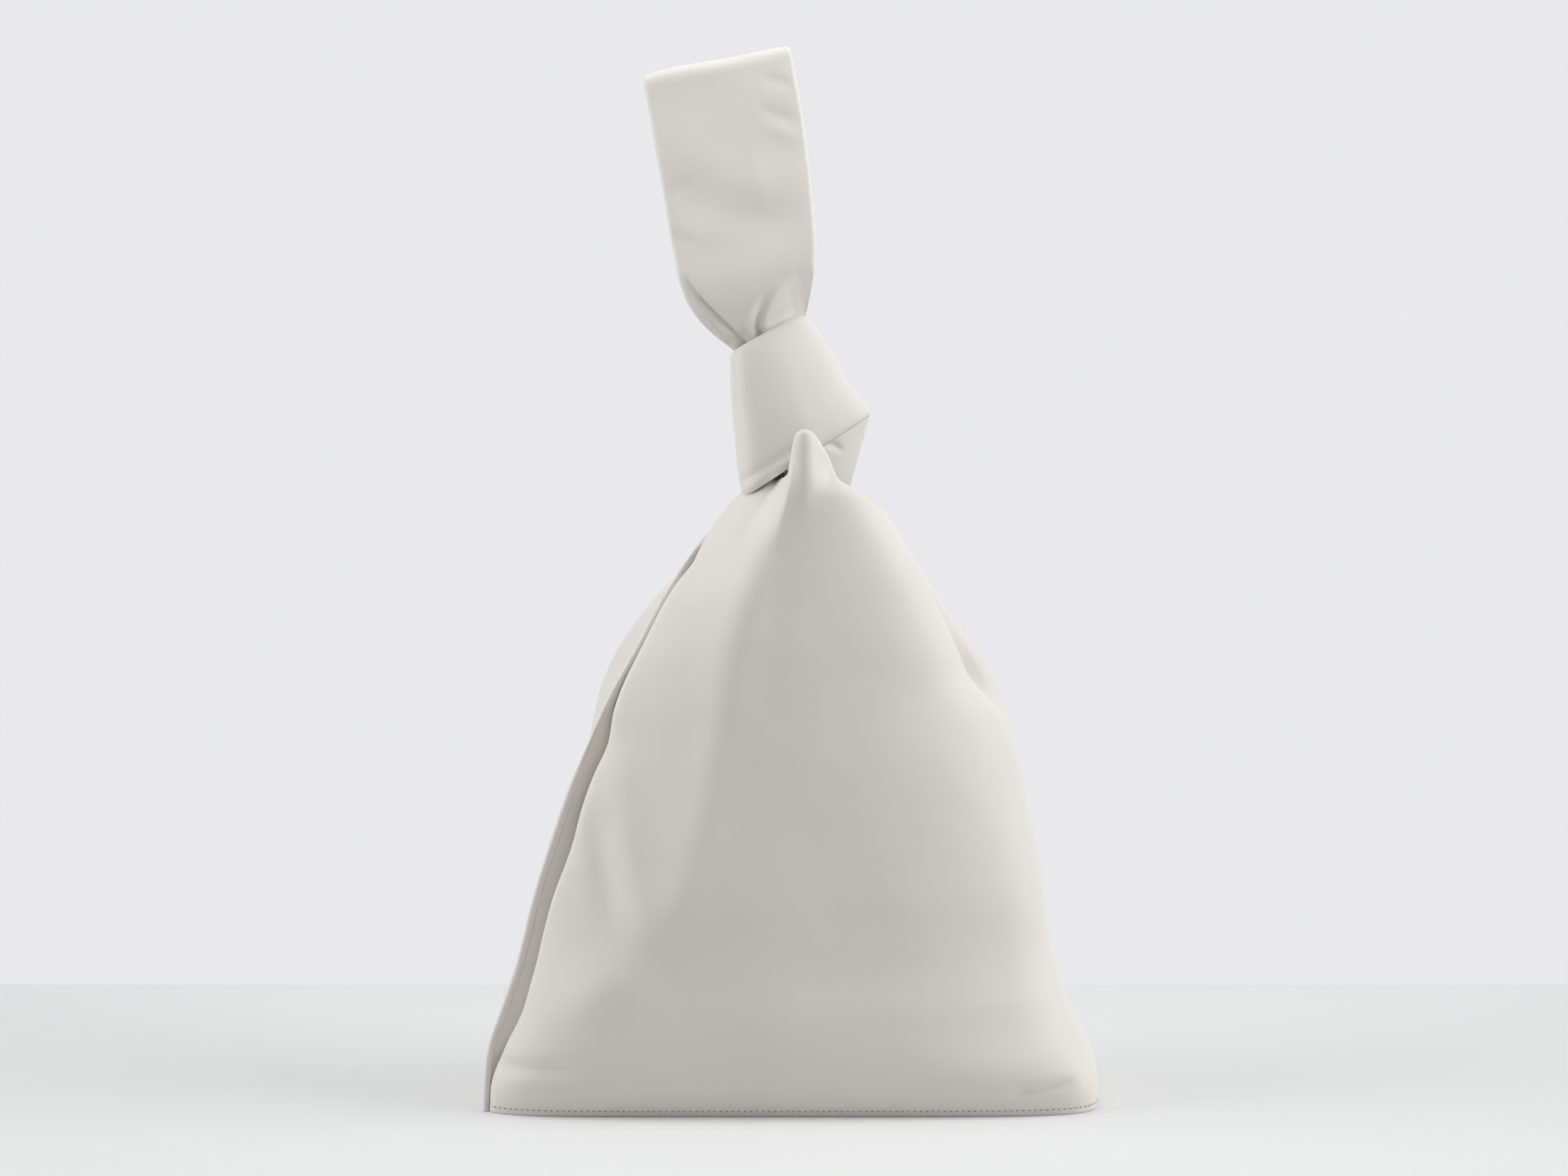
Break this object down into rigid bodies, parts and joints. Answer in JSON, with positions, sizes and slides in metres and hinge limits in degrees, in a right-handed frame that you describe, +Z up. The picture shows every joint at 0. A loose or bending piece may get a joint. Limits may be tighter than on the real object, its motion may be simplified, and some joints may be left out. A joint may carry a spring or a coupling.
{
  "type": "knot bag",
  "caption": "Soft leather pouch bag with a flat base; its long handle is drawn through a short handle that wraps it as a knot, and ends in a wrist loop.",
  "frame": {"origin": "middle of the base, on the table", "axes": "+Z up, +X to the right in the picture, -Y to the front"},
  "size_m": [0.24, 0.0998, 0.4188],
  "materials": {
    "nappa": "smooth matt nappa",
    "suede": "suede cloth",
    "thread": "tone on tone thread",
    "felt": "felt"
  },
  "bodies": {
    "bag": {"front_panel": "nappa", "rear_panel": "nappa", "base_panel": "nappa", "front_lining": "suede", "rear_lining": "suede", "base_lining": "suede", "base_interlining": "felt", "front_mouth_facing": "nappa", "rear_mouth_facing": "nappa", "front_base_thread": "thread", "rear_base_thread": "thread", "left_seam_thread": "thread", "right_seam_thread": "thread", "long_handle_root": "nappa"},
    "knot": {"short_handle_sleeve": "nappa", "short_handle_padding": "felt", "short_handle_root": "nappa", "long_handle_gather": "nappa"},
    "handle": {"long_handle_sleeve": "nappa", "long_handle_padding": "felt"}
  },
  "joints": [
    {"name": "knot_lean", "type": "hinge", "parent": "bag", "child": "knot", "pos_m": [0.0083, 0, 0.2495], "axis": [0, 1, 0], "range_deg": [0, 20]},
    {"name": "handle_fold", "type": "hinge", "parent": "knot", "child": "handle", "pos_m": [-0.01055, 0, 0.32471], "axis": [0.9816, 0, 0.1908], "range_deg": [-75, 75]}
  ]
}
